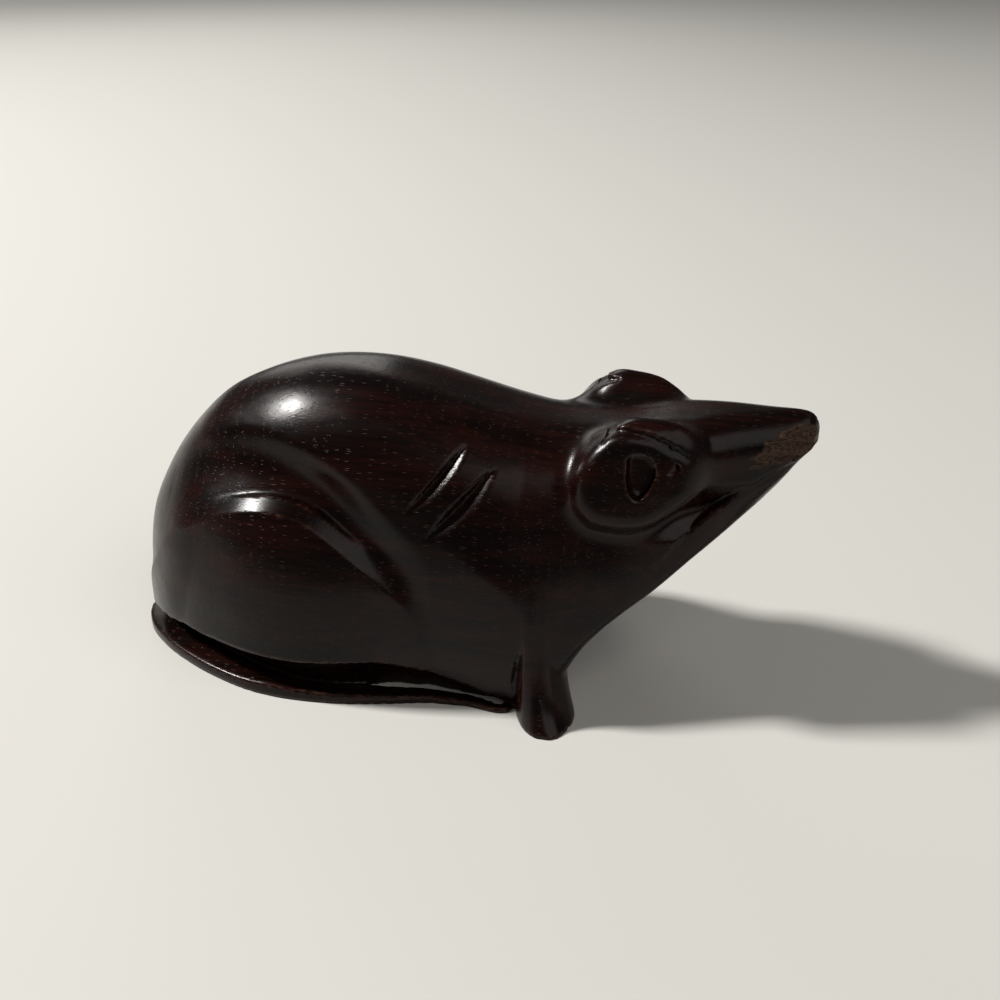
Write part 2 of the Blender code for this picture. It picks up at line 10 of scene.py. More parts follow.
import bmesh
import bpy
import numpy as np
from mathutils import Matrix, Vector


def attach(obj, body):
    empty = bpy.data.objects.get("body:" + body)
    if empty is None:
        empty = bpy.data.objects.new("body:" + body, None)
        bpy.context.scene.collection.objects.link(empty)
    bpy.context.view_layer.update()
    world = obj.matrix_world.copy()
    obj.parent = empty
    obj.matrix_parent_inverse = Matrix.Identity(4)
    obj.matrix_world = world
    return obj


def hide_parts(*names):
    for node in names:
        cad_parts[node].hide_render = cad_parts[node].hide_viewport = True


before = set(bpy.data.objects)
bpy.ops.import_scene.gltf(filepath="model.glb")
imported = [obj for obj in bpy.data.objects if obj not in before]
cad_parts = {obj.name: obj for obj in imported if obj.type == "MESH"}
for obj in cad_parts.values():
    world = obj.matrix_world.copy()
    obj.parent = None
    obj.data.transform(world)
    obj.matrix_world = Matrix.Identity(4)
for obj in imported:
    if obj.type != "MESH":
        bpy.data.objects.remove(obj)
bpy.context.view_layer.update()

# Size of the real carving, in metres
LENGTH = 0.1683

# Length of the drawing, in its own units, and the size of one unit
DRAWN_LENGTH = 168.3
UNIT = LENGTH / DRAWN_LENGTH

# Side outline (x, z): up the rump, over the back to the nose, and back under chin and chest
SIDE = [(-83, -30), (-83, -12), (-83.2, 4), (-82.9, 16), (-81.7, 27), (-79.1, 38), (-73.7, 48.4),
        (-66.4, 57.8), (-57.6, 66.0), (-47.4, 71.4), (-37.5, 74.4), (-28, 75.4), (-18, 74.9),
        (-8, 73.0), (2, 70.4), (12, 68.1), (22, 66.9), (32, 66.9), (42, 67.7), (52, 69.6),
        (62, 71.2), (72, 72.0), (79.4, 72.6), (82.2, 71.6), (83.5, 69.2), (83.6, 66.2),
        (82.3, 64.0), (80.6, 62.0), (78.6, 59.8), (76.8, 57.2), (74.9, 54.5), (71.3, 50.2),
        (64.8, 43.8), (58.4, 38.2), (50.1, 31.0), (43.7, 25.9), (39.1, 21.9), (34.3, 16.2),
        (29.5, 6), (27, -6), (25, -30)]

# Half width of rump, belly, neck and snout (x, half width)
HALF_WIDTH = [(-95, 18), (-80, 22), (-65, 26), (-45, 28.2), (-20, 29.4), (0, 30.0), (18, 30.2),
              (31, 27.6), (44, 20.8), (58, 14.9), (74, 10.8), (95, 7.5)]

# Flank above the belly, which leans inwards (x, rate), and the flat shoulder beside the chest
LEAN = [(-95, 0.012), (-70, 0.014), (-50, 0.014), (-35, 0.012), (-20, 0.011), (20, 0.009),
        (38, 0.003), (52, 0), (95, 0)]
LEAN_HEIGHT = 30
LEAN_KNEE = 30
SHOULDER_POINT = (23.4, 29.7)
SHOULDER_SLOPE = 0.42
SHOULDER_LEAN = 0.14
SHOULDER_END = (34, 48)
SHOULDER_HEIGHT = (30, 52)
SHOULDER_BLEND = (0.4, 8.0)

# Rounding of the upper and lower edges of the body (x, radius)
ROUND_TOP = [(-95, 19), (-75, 22), (-62, 22.5), (-45, 22), (-20, 20), (2, 18), (20, 16), (34, 13.5),
             (46, 10.5), (60, 8.8), (76, 7.2), (95, 6)]
ROUND_LOW = [(-85, 19), (-66, 19), (-35, 8), (20, 3), (40, 2.5), (60, 2.5), (84, 3)]

# Lines between which the rounding changes over, low to high (x, z)
ROUNDING_FLOOR = [(-90, 0), (30, 0), (76, 53), (84, 62)]
ROUNDING_ROOF = [(-90, 20), (-60, 55), (-20, 74), (30, 66), (84, 70)]
ROUNDING_CHANGE = (0.25, 0.65)

# The flank tucks in below this height
TUCK_HEIGHT = 30
TUCK_RATE = 0.005

# Haunch: side outline (x, z) with its crisp rim on top, and plan (x, half width)
HAUNCH_SIDE = [(-84, 4), (-82.5, 13), (-79.5, 20.5), (-73.5, 29), (-67.5, 35.6), (-61.5, 40.6),
               (-55.5, 44.3), (-49.5, 46.9), (-43.5, 48.5), (-38, 49.1), (-33, 48.6), (-28, 46.9),
               (-23.5, 44.3), (-19, 41.1), (-15, 37.8), (-11, 34.4), (-7.4, 31.0), (-4.4, 27),
               (-2.6, 22), (-2, 14), (-2.5, 4), (-5, -9), (-20, -14), (-50, -14), (-76, -12)]
HAUNCH_PLAN = [(-83.4, 3), (-82.4, 8), (-79.6, 12.8), (-75, 17.6), (-69, 22.3), (-62, 26.9),
               (-54, 30.6), (-45, 33.6), (-36, 34.9), (-27, 34.6), (-18, 33.2), (-9, 30.6),
               (-2, 27.4), (4, 24.0), (10, 20.0)]
HAUNCH_BULGE_HEIGHT = 20
HAUNCH_BULGE_RATE = 0.0075
HAUNCH_LEDGE = 2.4
HAUNCH_SPREAD = 0.8
HAUNCH_TUCK = (-32, -6)
HAUNCH_BLEND = [(-20, 0.8), (-6, 6.0)]

# Valley carved round the top of the haunch: its line (x, z), and depth and width along it
VALLEY_LINE = [(-89, 6), (-87, 18), (-81.5, 29.5), (-74.5, 38), (-66.5, 45.2), (-58, 50.6), (-49, 54),
               (-40, 55), (-31.5, 53.4), (-24, 49.4), (-17, 43.8), (-10, 38.4), (-3, 33.8), (4, 29.4),
               (12, 24), (22, -10), (-30, -40), (-80, -20)]
VALLEY_DEPTH = [(-80, 0), (-70, 1.4), (-52, 3.0), (-25, 2.8), (-12, 1.6), (0, 0)]
VALLEY_WIDTH = [(-84, 7), (-50, 9.0), (-20, 9.0), (2, 8)]

# Overhanging lower edge of haunch and belly (x, z), and how far it is cut in below (x, depth)
EDGE = [(-84, 6), (-77, 8.8), (-66, 10.9), (-55, 11.5), (-43, 11.4), (-32, 11.2), (-22, 11.2),
        (-14, 11), (-5, 9.8), (7.5, 6), (19.6, 1), (24, -1), (90, -5)]
UNDERCUT = [(-84, 2.5), (-75, 5), (-62, 7.5), (-40, 7.5), (-25, 6.5), (-10, 5), (0, 4), (14, 3),
            (20, 2), (24, 0), (90, 0)]
UNDERCUT_STEEPNESS = [(-18, 3.0), (-9, 1.1)]

# Tail round the rump and along the side: plan (x, y), height and width (x, length), rounding
TAIL_PLAN = [(-84.9, -4), (-83.4, -9.4), (-79.4, -15.0), (-71.4, -21.7), (-62, -27.2), (-53.5, -31.0),
             (-45.5, -33.6), (-38, -34.7), (-31.7, -34.8), (-25, -34.3), (-19.3, -33.4), (-10, -31.2),
             (-1, -28.8), (8, -28.0), (19, -27.4), (19, -8), (-10, 4), (-40, 12), (-62, 24),
             (-71, 22.5), (-78, 17), (-83, 10), (-85, 3)]
TAIL_EDGE = [(-84, 2.6), (-50, 2.8), (-38, 3.2), (-25, 2.8), (-10, 2.2), (6, 1.6), (21, 1.0)]
TAIL_CREST = [(-84, 4.5), (-60, 5.2), (-50, 4.6), (-42, 2.4), (-35, 0.6)]
TAIL_SLOPE = 0.2
TAIL_INNER_SLOPE = 0.3
TAIL_RIDGE = 0.6
TAIL_WIDTH = 14
TAIL_BLEND = 0.6

# Front leg with its paw: plan at the ground (x, half width), and its flare outwards and forwards (x, length)
LEG_PLAN = [(19.8, 20), (20.0, 26.6), (22.0, 31.6), (24.6, 35.0), (27.4, 36.6), (30.8, 36.3),
            (33.0, 33.6), (34.2, 28), (33.2, 22), (29, 17), (23, 16)]
LEG_TOP = 37
LEG_TOP_BLEND = 6.0
LEG_BLEND = 1.0
PAW_FLARE = [(19.8, 0.8), (22.5, 3.4), (25.8, 7.7), (29.2, 9.7), (32, 9.9), (36, 9.0)]
PAW_FLARE_HEIGHT = 26
PAW_STEP = [(20, 0), (24, 0.8), (30, 3.6), (36, 4.0)]
PAW_STEP_HEIGHT = 14
SHANK_RATE = 0.26

# Ear: side outline (x, z) of a pad on the side of the head, whose face splays outwards below its
# crest and turns in towards the nose; far and near ear are staggered
EAR_SIDE = [(28.6, 58), (29.2, 62.5), (31.2, 66.2), (33.8, 69.0), (36.4, 71.2), (39.6, 72.6),
            (43.6, 72.8), (47.4, 72.6), (50.8, 71.6), (54.0, 68.6), (55.6, 62.8), (54.6, 56),
            (49.5, 51.5), (44.5, 48.8), (38.5, 48.8), (32.5, 50.0), (29.4, 53.6)]
EAR_FACE = (44, 20.2, 60)
EAR_SPLAY = 0.18
EAR_TURN = 0.25
EAR_BACK = 7.9
EAR_LEAN = 0.18
EAR_ROUNDING = 4.3
EAR_BLEND = 5.5
EAR_STAGGER = 3.2

# Fold under the ear's rim: the rim's crest (x, z), and the fold's start, width and depth (x, length)
RIM = [(33.0, 67.5), (34.4, 70.5), (37.1, 72.3), (39.3, 72.8), (41.5, 72.7), (43.7, 72.5),
       (45.9, 72.0), (47.7, 71.4), (50.3, 70.2), (52.6, 68.8), (55, 67)]
FOLD_START = [(33, 0.8), (38, 0.9), (46, 1.6), (52, 2.4)]
FOLD_WIDTH = [(33, 1.6), (36, 2.6), (42, 3.0), (48, 3.8), (53, 3.0), (55, 1.6)]
FOLD_DEPTH = [(33, 0), (36, 0.7), (44, 0.8), (49, 1.1), (54, 0)]
FOLD_SIDE = 11

# Pit in the ear, with one straight side (x, z)
PIT_SIDE = [(39.7, 63.8), (39.8, 65.5), (41.8, 66.1), (44.2, 65.4), (45.7, 63.0), (45.4, 60.4),
            (44.4, 58.2), (42.5, 56.3), (40.6, 57.8), (39.8, 60.6)]
PIT_DEPTH = 2.4
PIT_ROUNDING = 1.2
PIT_EDGE = 0.8

# Eye: a crescent cut in front of the ear
EYE_CENTRE = (52.6, 63.7)
EYE_RADIUS = 1.5
EYEBALL_CENTRE = (51.8, 63.9)
EYEBALL_RADIUS = 1.2
EYE_DEPTH = 1.4

# Mouth line (x, z), with the hollow cheek above it and the bevelled lip below
MOUTH = [(50, 38.6), (54, 43.2), (57.6, 47.4), (63.1, 52.2), (68.5, 56.6), (76, 60.9), (84, 64.6)]
MOUTH_SLOPE = 0.79
CHEEK_HEIGHT = 57.5
CHEEK_RATE = 0.52
CHEEK_RETURN = 0.8
CHEEK_START = (42, 54)
CHEEK_END = (5, 14)
LIP_START = (48, 58)
LIP_DEPTH = 0.9
LIP_WIDTH = 2.4
LIP_SLOPE = 0.04
JAW_START = (54, 70)
JAW_SLOPE = 0.35
JAW_WIDTH = 3.0

# Broken tip of the nose: a slanting face, stopped below by a crack
CHIP_NORMAL = (0.535, -0.842, -0.075)
CHIP_DISTANCE = 40.4
CRACK_POINT = (72.0, 61.9)
CRACK_SLOPE = 0.08
SPLINTERS = [(0.3, 0.35, 1.9, 0.4), (0.14, 0.6, 3.1, 2.1)]

# Rib cuts and the groove behind the leg: (start, end, bow, half width, depth, crest)
GOUGES = [((7.0, 64.9), (-5.6, 49.7), 0.6, 1.7, 1.7, -0.35),
          ((13.8, 60.6), (-0.6, 44.4), 0.6, 2.2, 2.0, -0.2),
          ((22.6, 21.5), (19.9, 4.0), -0.5, 1.2, 1.6, -0.1)]
GOUGE_FULLNESS = 0.6

# Sampling: pitch of the finished mesh, room round the drawing and its reach
FINE_PITCH = 0.72
MARGIN = 3.0
REACH = ((-86, -37, 0), (84, 37, 77))
OUTLINE_PITCH = 0.5
OUTLINE_ROOM = 18
OUTLINE_STEPS = 8
CREASE_DAMPING = 0.08
TINY = 1e-9

# Millimetres in a metre
MILLIMETRES = 1000

# Camera at the photograph's viewing angle, looking at the middle of the flank
CAMERA_TARGET = (0.010, 0.0, 0.042)
CAMERA_AZIMUTH = 13
CAMERA_ELEVATION = 27
CAMERA_DISTANCE = 0.305
CAMERA_LENS = 45
SENSOR_WIDTH = 36
NEAREST_SEEN = 0.01

# Lights: name, azimuth, elevation, distance, width, height, power, colour
LIGHTS = [("window", -84, 45, 2.0, 0.22, 0.22, 57.0, (1.0, 0.98, 0.95)),
          ("wall", 211, 25, 1.6, 0.9, 0.6, 3.4, (1.0, 0.97, 0.93)),
          ("room", 54, 40, 1.4, 1.6, 1.2, 8.0, (1.0, 0.96, 0.92))]
WORLD_COLOUR = (0.80, 0.80, 0.78, 1.0)
WORLD_STRENGTH = 0.11

# Table, which fades into the shade in front of the picture (Y in metres, from full shade to none)
TABLE_REACH = 4.0
TABLE_COLOUR = (0.56, 0.553, 0.525, 1.0)
TABLE_ROUGHNESS = 0.85
SHADE_COLOUR = (0.10, 0.095, 0.085, 1.0)
SHADE_EDGE = (-0.23, -0.138)

# Wood: deep and warm grain, open pores, rubbed ridges with a painted highlight, and raw broken wood
DEEP_BROWN = (0.0022, 0.0008, 0.0006, 1.0)
WARM_BROWN = (0.0125, 0.0026, 0.0016, 1.0)
PORE_BROWN = (0.044, 0.020, 0.014, 1.0)
# Lighter brown on convex ridges: rubbed wood together with a painted highlight along the edges
WORN_AND_HIGHLIT_BROWN = (0.050, 0.022, 0.014, 1.0)
BROKEN_BROWN = (0.070, 0.040, 0.022, 1.0)

# Noises in the wood: cells in a millimetre along X, Y and Z, detail and roughness
BANDS = ((0.012, 0.16, 0.16), 4.0, 0.6)
STREAKS = ((0.05, 1.1, 1.1), 4.0, 0.62)
PATCHES = ((0.5, 1.6, 1.6), 3.0, 0.55)
FIBRES = ((0.22, 2.4, 2.4), 4.0, 0.7)
HAZE = ((0.06, 0.22, 0.22), 3.0, 0.6)
FINE_GRAIN = ((0.6, 4.0, 4.0), 3.0, 0.6)
TOOL_CUTS = ((0.05, 0.11, 0.11), 2.0, 0.5)

# Values of each noise between which its effect sets in
FIGURE_RANGE = (0.40, 0.66)
PATCH_RANGE = (0.35, 0.7)
FIBRE_RANGE = (0.35, 0.65)
HAZE_RANGE = (0.3, 0.75)

# Share of the bands in the figure; the streaks have the rest
BAND_SHARE = 0.6

# Pores: cells in a millimetre, edge of a pore in its cell, choice among the cells, and strength
PORE_CELLS = (0.36, 3.0, 3.0)
PORE_EDGE = (0.16, 0.30)
PORE_CHOICE = (0.66, 0.72)
PORE_STRENGTH = 0.42

# Polish: roughness of the wax, and what pores and broken wood add to it
WAX_ROUGHNESS = (0.20, 0.28)
PORE_ROUGHNESS = 0.12
BROKEN_ROUGHNESS = 0.35
SPECULAR = 0.14
COAT = 0.07
COAT_ROUGHNESS = 0.22

# Heights of the smallest relief, in millimetres, and its strength
GRAIN_HEIGHT = 0.05
PORE_DEPTH = 0.06
CUT_HEIGHT = 0.35
FIBRE_HEIGHT = 0.5
RELIEF_STRENGTH = 0.6

# Broken wood lies this near to the chip and this far forward; rubbing and a painted highlight show between
# these curvatures
BROKEN_REACH = 0.4
BROKEN_START = 60
WEAR_AND_HIGHLIGHT_RANGE = (0.15, 0.7)


def spline(points, x):
    """Value at x of a smooth line with even curvature through the points."""
    at, value = np.array(points, float).T
    gap = np.diff(at)
    slope = np.diff(value) / gap
    matrix = np.eye(len(at))
    right = np.zeros(len(at))
    for i in range(1, len(at) - 1):
        matrix[i, i - 1:i + 2] = gap[i - 1], 2 * (gap[i - 1] + gap[i]), gap[i]
        right[i] = 6 * (slope[i] - slope[i - 1])
    bend = np.linalg.solve(matrix, right)
    x = np.clip(x, at[0], at[-1])
    k = np.clip(np.searchsorted(at, x) - 1, 0, len(gap) - 1)
    before, after, h = x - at[k], at[k + 1] - x, gap[k]
    return ((bend[k] * after ** 3 + bend[k + 1] * before ** 3) / (6 * h)
            + (value[k] / h - bend[k] * h / 6) * after
            + (value[k + 1] / h - bend[k + 1] * h / 6) * before)


def straight(points, x):
    """Value at x of straight runs between the points."""
    at, value = np.array(points, float).T
    return np.interp(x, at, value)


def closed_curve(points):
    """Points along a smooth closed curve through the given ones."""
    knots = np.array(points, float)
    before, after, beyond = (np.roll(knots, turn, axis=0) for turn in (1, -1, -2))
    steps = np.arange(OUTLINE_STEPS)[:, None, None] / OUTLINE_STEPS
    curve = (2 * knots + (after - before) * steps
             + (2 * before - 5 * knots + 4 * after - beyond) * steps ** 2
             + (3 * knots - before - 3 * after + beyond) * steps ** 3) / 2
    return curve.transpose(1, 0, 2).reshape(-1, 2)


class Outline:
    """Signed distance to a closed outline, sampled once on a fine grid."""

    def __init__(self, points):
        curve = closed_curve(points)
        self.low = curve.min(axis=0) - OUTLINE_ROOM
        size = np.ceil((curve.max(axis=0) + OUTLINE_ROOM - self.low) / OUTLINE_PITCH).astype(int)
        first, second = (self.low[k] + OUTLINE_PITCH * np.arange(size[k] + 1) for k in (0, 1))
        self.size = size
        self.table = self.measure(curve, *np.meshgrid(first, second, indexing="ij"))

    @staticmethod
    def measure(curve, u, v):
        nearest = np.full(u.shape, np.inf)
        inside = np.zeros(u.shape, bool)
        for (au, av), (bu, bv) in zip(curve, np.roll(curve, -1, axis=0)):
            du, dv = bu - au, bv - av
            along = np.clip(((u - au) * du + (v - av) * dv) / (du * du + dv * dv), 0, 1)
            nearest = np.minimum(nearest, np.hypot(u - au - along * du, v - av - along * dv))
            if av != bv:
                crosses = (av <= v) != (bv <= v)
                inside ^= crosses & (u < au + (v - av) * du / dv)
        return np.where(inside, -nearest, nearest)

    def __call__(self, u, v):
        a = np.clip((u - self.low[0]) / OUTLINE_PITCH, 0, self.size[0] - TINY)
        b = np.clip((v - self.low[1]) / OUTLINE_PITCH, 0, self.size[1] - TINY)
        i, j = a.astype(int), b.astype(int)
        a, b = a - i, b - j
        near = self.table[i, j] * (1 - b) + self.table[i, j + 1] * b
        far = self.table[i + 1, j] * (1 - b) + self.table[i + 1, j + 1] * b
        return near * (1 - a) + far * a


def mirrored(points):
    """A half plan joined to its mirror image."""
    return points + [(x, -y) for x, y in reversed(points)]


def join(a, b, blend):
    """Union of two forms with a soft valley between them."""
    share = np.clip(0.5 + 0.5 * (b - a) / blend, 0, 1)
    return b + (a - b) * share - blend * share * (1 - share)


def meet(a, b, blend):
    """Intersection of two forms with a soft ridge between them."""
    return -join(-a, -b, blend)


def rounded(a, b, radius):
    """Intersection of two forms with its edge rounded to the radius."""
    a, b = a + radius, b + radius
    return np.hypot(np.maximum(a, 0), np.maximum(b, 0)) + np.minimum(np.maximum(a, b), 0) - radius


def rise(value, low, high):
    """Smooth change from 0 at low to 1 at high."""
    share = np.clip((value - low) / (high - low), 0, 1)
    return share * share * (3 - 2 * share)


side_outline = Outline(SIDE)
haunch_outline = Outline(HAUNCH_SIDE)
valley_outline = Outline(VALLEY_LINE)
haunch_plan = Outline(mirrored(HAUNCH_PLAN))
leg_plan = Outline(LEG_PLAN)
tail_plan = Outline(TAIL_PLAN)
ear_outline = Outline(EAR_SIDE)
pit_outline = Outline(PIT_SIDE)


def torso(x, y, z):
    """Rump, belly, neck and head: the side outline met by the half width, with rounded edges."""
    low, high = straight(ROUNDING_FLOOR, x), straight(ROUNDING_ROOF, x)
    upper = rise((z - low) / (high - low), *ROUNDING_CHANGE)
    radius = spline(ROUND_TOP, x) * upper + straight(ROUND_LOW, x) * (1 - upper)
    tuck = TUCK_RATE * np.clip(TUCK_HEIGHT - z, 0, None) ** 2
    above = np.clip(z - LEAN_HEIGHT, 0, None)
    lean = straight(LEAN, x) * above ** 2 / (1 + (above / LEAN_KNEE) ** 2)
    slope = spline(HALF_WIDTH, x + 0.5) - spline(HALF_WIDTH, x - 0.5)
    flank = (np.abs(y) + tuck + lean - spline(HALF_WIDTH, x)) / np.sqrt(1 + slope ** 2)
    back = SHOULDER_LEAN * (z - PAW_FLARE_HEIGHT) * (1 - rise(x, *SHOULDER_END))
    back = back + SHOULDER_SLOPE * (x - SHOULDER_POINT[0])
    shoulder = np.abs(y) + tuck + lean + back - SHOULDER_POINT[1]
    upwards = rise(z, *SHOULDER_HEIGHT)
    blend = SHOULDER_BLEND[0] + (SHOULDER_BLEND[1] - SHOULDER_BLEND[0]) * upwards
    flank = meet(flank, shoulder / np.sqrt(1 + SHOULDER_SLOPE ** 2), blend)
    return rounded(side_outline(x, z), flank + mouth(x, z), radius)


def haunch(x, y, z):
    """The thigh: a cushion-shaped disc whose rim is bevelled to a narrow ledge."""
    bulge = HAUNCH_BULGE_RATE * np.clip(z - HAUNCH_BULGE_HEIGHT, 0, None) ** 2
    tuck = TUCK_RATE * np.clip(TUCK_HEIGHT - z, 0, None) ** 2 * rise(x, *HAUNCH_TUCK)
    side, plan = haunch_outline(x, z) - HAUNCH_SPREAD, haunch_plan(x, np.abs(y) + bulge + tuck)
    return np.maximum(np.maximum(side, plan), (side + plan + HAUNCH_LEDGE) / np.sqrt(2))


def valley(x, z):
    """Depth of the hollow that follows the haunch's rim."""
    off = valley_outline(x, z) / straight(VALLEY_WIDTH, x)
    return straight(VALLEY_DEPTH, x) * np.clip(1 - off ** 2, 0, 1) ** 2


def undercut(x, z):
    """How far the wood is cut in below the overhanging edge."""
    below = np.clip(straight(EDGE, x) - z, 0, None)
    return np.minimum(straight(UNDERCUT_STEEPNESS, x) * below, straight(UNDERCUT, x))


def gouge(x, z, start, end, bow, half_width, depth, crest):
    """Depth of a V cut with pointed ends, seen from the side."""
    (x0, z0), (x1, z1) = start, end
    length = np.hypot(x1 - x0, z1 - z0)
    u, w = (x1 - x0) / length, (z1 - z0) / length
    along = ((x - x0) * u + (z - z0) * w) / length
    lens = np.clip(4 * along * (1 - along), 0, 1)
    across = (z - z0) * u - (x - x0) * w - bow * lens
    across = across / (half_width * lens ** GOUGE_FULLNESS + TINY)
    wall = np.minimum((across + 1) / (1 + crest), (1 - across) / (1 - crest))
    return depth * lens * np.clip(wall, 0, 1)


def mouth(x, z):
    """Depth of the hollow cheek, of the flat lip below it and of the jaw under the lip."""
    line = spline(MOUTH, x)
    below = (line - z) * MOUTH_SLOPE
    drop = np.clip(CHEEK_HEIGHT - z, 0, np.maximum(CHEEK_HEIGHT - line, 0))
    hollow = CHEEK_RATE * drop * (1 - rise(drop, *CHEEK_END)) * rise(x, *CHEEK_START)
    jaw = JAW_SLOPE * np.clip(below - LIP_WIDTH, 0, JAW_WIDTH) * rise(x, *JAW_START)
    lip = LIP_DEPTH + LIP_SLOPE * below + jaw
    share = np.clip(below / CHEEK_RETURN, 0, 1)
    return hollow * (1 - share) + lip * share * rise(x, *LIP_START)


def leg(x, y, z):
    """Front leg that is flush with the shoulder and flares out to the paw."""
    up, step = (1 - np.clip(z / height, 0, 1) for height in (PAW_FLARE_HEIGHT, PAW_STEP_HEIGHT))
    out = np.abs(y) + straight(PAW_FLARE, x) * (1 - up ** 2)
    out = out + SHANK_RATE * np.clip(z - PAW_FLARE_HEIGHT, 0, None)
    plan = leg_plan(x + straight(PAW_STEP, x) * (1 - step ** 2), out)
    return meet(plan, z - LEG_TOP, LEG_TOP_BLEND)


def ear_face(x, y, z):
    """Distance outwards from the ear's outer face."""
    splay = EAR_SPLAY * (z - EAR_FACE[2]) + EAR_TURN * (x - EAR_FACE[0])
    return (np.abs(y) - EAR_FACE[1] + splay) / np.sqrt(1 + EAR_SPLAY ** 2 + EAR_TURN ** 2)


def ear(x, y, z):
    x = x + EAR_STAGGER * np.sign(y)
    back = EAR_BACK + EAR_LEAN * (z - EAR_FACE[2]) - np.abs(y)
    return rounded(ear_outline(x, z), np.maximum(ear_face(x, y, z), back), EAR_ROUNDING)


def fold(x, y, z):
    """Depth of the crescent groove under the ear's rim."""
    x = x + EAR_STAGGER * np.sign(y)
    share = np.clip((spline(RIM, x) - z - straight(FOLD_START, x)) / straight(FOLD_WIDTH, x), 0, 1)
    bowl = np.sin(np.pi * share * (2 - share)) ** 2
    return straight(FOLD_DEPTH, x) * bowl * np.clip(np.abs(y) - FOLD_SIDE, 0, 1)


def pit(x, y, z):
    x = x + EAR_STAGGER * np.sign(y)
    return rounded(pit_outline(x, z), -PIT_DEPTH - ear_face(x, y, z), PIT_ROUNDING)


def eye(x, z):
    """Depth of the crescent round the front of the eye."""
    socket = EYE_RADIUS - np.hypot(x - EYE_CENTRE[0], z - EYE_CENTRE[1])
    ball = np.hypot(x - EYEBALL_CENTRE[0], z - EYEBALL_CENTRE[1]) - EYEBALL_RADIUS
    return EYE_DEPTH * np.clip(2 * np.minimum(socket, ball), 0, 1)


def nose_chip(x, y, z):
    face = CHIP_NORMAL[0] * x + CHIP_NORMAL[1] * y + CHIP_NORMAL[2] * z - CHIP_DISTANCE
    for depth, along, across, start in SPLINTERS:
        face = face + depth * np.sin(along * x + across * z + start)
    return np.minimum(face, z - CRACK_POINT[1] - CRACK_SLOPE * (x - CRACK_POINT[0]))


def tail(x, y, z):
    """A band on the ground with a crest: its outer facet slopes down to the edge, its inner one inwards."""
    plan = tail_plan(x, y)
    crest, top = straight(TAIL_CREST, x), z - straight(TAIL_EDGE, x)
    outer = (top + TAIL_SLOPE * plan) / np.hypot(1, TAIL_SLOPE)
    inner = (top - TAIL_SLOPE * crest - TAIL_INNER_SLOPE * (plan + crest)) / np.hypot(1, TAIL_INNER_SLOPE)
    band = meet(plan, meet(outer, inner, TAIL_RIDGE), TAIL_RIDGE)
    return np.maximum(band, -plan - TAIL_WIDTH)


def mouse(points):
    """Signed distance of the whole carving, which stands on Z = 0."""
    x, y, z = np.array(points).T
    form = join(torso(x, y, z) + valley(x, z), haunch(x, y, z), straight(HAUNCH_BLEND, x))
    form = form + undercut(x, z)
    for cut in GOUGES:
        form = form + gouge(x, z, *cut)
    form = join(form, leg(x, y, z), LEG_BLEND)
    form = join(form, ear(x, y, z), EAR_BLEND) + fold(x, y, z) + eye(x, z)
    form = meet(form, -pit(x, y, z), PIT_EDGE)
    form = np.maximum(form, nose_chip(x, y, z))
    form = join(form, tail(x, y, z), TAIL_BLEND)
    return np.maximum(form, -z)


def gradient(field, points, reach):
    """Direction in which the field grows fastest, as unit vectors."""
    steps = reach * np.eye(3)
    slopes = np.column_stack([field(points + step) - field(points - step) for step in steps])
    return slopes / (np.linalg.norm(slopes, axis=1, keepdims=True) + TINY)


def sample(field, axes):
    """Values of the field on the grid, one slice along X at a time."""
    across = np.stack(np.meshgrid(axes[1], axes[2], indexing="ij"), axis=-1).reshape(-1, 2)
    slices = [field(np.column_stack([np.full(len(across), x), across])) for x in axes[0]]
    return np.array(slices).reshape([len(axis) for axis in axes])


def settle(value, fill):
    """Fill grid corners where two parts of the surface would meet in a single cell."""
    low, high = slice(None, -1), slice(1, None)
    while True:
        before = np.count_nonzero(value < 0)
        for axis in range(3):
            turned = np.moveaxis(value, axis, 0)
            a, b, c, d = (turned[:, i, j] for i, j in
                          ((low, low), (high, low), (high, high), (low, high)))
            a[(a >= 0) & (c >= 0) & (b < 0) & (d < 0)] = fill
            b[(b >= 0) & (d >= 0) & (a < 0) & (c < 0)] = fill
        corners = [value[i, j, k] for i in (low, high) for j in (low, high) for k in (low, high)]
        inside = sum((corner < 0).astype(int) for corner in corners)
        for first, last in zip(corners[:4], corners[:3:-1]):
            first[(inside == 6) & (first >= 0) & (last >= 0)] = fill
            lone = (inside == 2) & (first < 0) & (last < 0)
            for corner in corners[1:3]:
                corner[lone] = fill
        if np.count_nonzero(value < 0) == before:
            return value


def crossings(value, axes, pitch):
    """Points where grid edges pierce the surface, and the four cells round each of them."""
    strides = np.array([(value.shape[1] - 1) * (value.shape[2] - 1), value.shape[2] - 1, 1])
    points, rings = [], []
    for axis in range(3):
        start = np.take(value, range(value.shape[axis] - 1), axis)
        end = np.take(value, range(1, value.shape[axis]), axis)
        index = np.argwhere((start < 0) != (end < 0))
        low, high = start[tuple(index.T)], end[tuple(index.T)]
        place = np.column_stack([axes[k][index[:, k]] for k in range(3)])
        place[:, axis] += pitch * low / (low - high)
        u, v = np.eye(3, dtype=int)[[k for k in range(3) if k != axis]]
        ring = np.column_stack([(index - side) @ strides for side in (0 * u, u, u + v, v)])
        turned = (low < 0) == (axis == 1)
        ring[turned] = ring[turned][:, ::-1]
        points.append(place)
        rings.append(ring)
    return np.vstack(points), np.vstack(rings), strides


